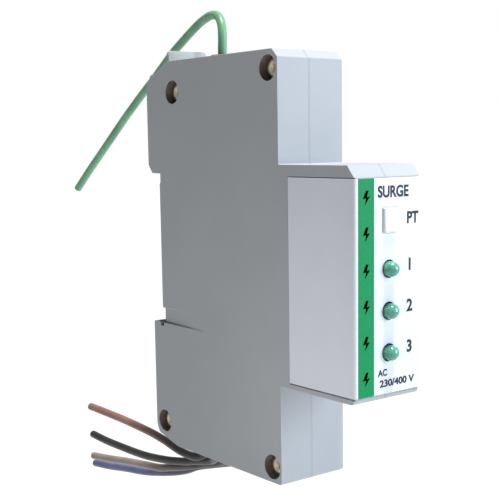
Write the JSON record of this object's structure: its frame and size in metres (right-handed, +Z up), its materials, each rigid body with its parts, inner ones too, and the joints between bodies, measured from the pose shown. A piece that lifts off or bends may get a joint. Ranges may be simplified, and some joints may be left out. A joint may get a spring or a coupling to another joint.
{
  "type": "rail-mounted surge protector",
  "caption": "Narrow one-module DIN-rail surge protector: stepped grey case, wrapped white label, indicator lamps, test button, rail latch and flying leads.",
  "frame": {"origin": "on the seat where the rail's face rests, at the middle of the rail notch and of the case's width", "axes": "+Y out of the back towards the rail, +Z up, X across the width; the front panel faces -Y"},
  "size_m": [0.0178, 0.1264, 0.1225],
  "materials": {
    "case_plastic": "fine satin moulding grain",
    "label_film": "satin printed film",
    "rivet_brass": "bright rolled",
    "latch_plastic": "satin off-white",
    "spring_steel": "drawn wire",
    "button_plastic": "satin white",
    "black_plastic": "moulded black",
    "lamp_lens": "tinted translucent green",
    "board_laminate": "solder-masked glass laminate",
    "insulating_paper": "calendered",
    "varistor_epoxy": "dipped epoxy",
    "fuse_case": "tinned",
    "tube_ceramic": "fired ceramic",
    "resistor_ceramic": "painted",
    "tinned_post": "tinned",
    "grommet_rubber": "matt",
    "sleeve_green": "satin extruded sleeve",
    "sleeve_brown": "satin extruded sleeve",
    "sleeve_black": "satin extruded sleeve",
    "sleeve_grey": "satin extruded sleeve",
    "sleeve_blue": "satin extruded sleeve"
  },
  "bodies": {
    "case": {"housing_left": "case_plastic", "housing_right": "case_plastic", "wrap_label": "label_film", "rivet_top_front": "rivet_brass", "rivet_top_rear": "rivet_brass", "rivet_bottom_front": "rivet_brass", "rivet_bottom_rear": "rivet_brass", "tact_switch_body": "black_plastic", "led_l1": "lamp_lens", "led_l2": "lamp_lens", "led_l3": "lamp_lens", "led_holder": "black_plastic", "main_pcb": "board_laminate", "insulation_sheet": "insulating_paper", "varistor_l1": "varistor_epoxy", "varistor_l2": "varistor_epoxy", "varistor_l3": "varistor_epoxy", "thermal_fuse_l1": "fuse_case", "thermal_fuse_l2": "fuse_case", "thermal_fuse_l3": "fuse_case", "gas_discharge_tube": "tube_ceramic", "led_resistor_l1": "resistor_ceramic", "led_resistor_l2": "resistor_ceramic", "led_resistor_l3": "resistor_ceramic", "test_resistor": "resistor_ceramic", "led_diode_l1": "black_plastic", "led_diode_l2": "black_plastic", "led_diode_l3": "black_plastic", "solder_post_phase_brown": "tinned_post", "solder_post_phase_black": "tinned_post", "solder_post_phase_grey": "tinned_post", "solder_post_neutral_blue": "tinned_post", "solder_post_earth_green": "tinned_post", "earth_grommet": "grommet_rubber", "lead_grommet": "grommet_rubber", "lead_earth_green": "sleeve_green", "lead_phase_brown": "sleeve_brown", "lead_phase_black": "sleeve_black", "lead_phase_grey": "sleeve_grey", "lead_neutral_blue": "sleeve_blue"},
    "latch": {"rail_latch": "latch_plastic", "latch_spring": "spring_steel"},
    "button": {"test_button": "button_plastic", "tact_switch_plunger": "black_plastic"}
  },
  "joints": [
    {"name": "latch_slide", "type": "slide", "parent": "case", "child": "latch", "axis": [0, 0, 1], "range_m": [0, 0.003], "stiffness_N_per_m": 800, "springref_m": -0.004, "deforming": ["latch_spring"]},
    {"name": "button_press", "type": "slide", "parent": "case", "child": "button", "axis": [0, 1, 0], "range_m": [0, 0.0005], "stiffness_N_per_m": 1500, "springref_m": -0.0005}
  ]
}
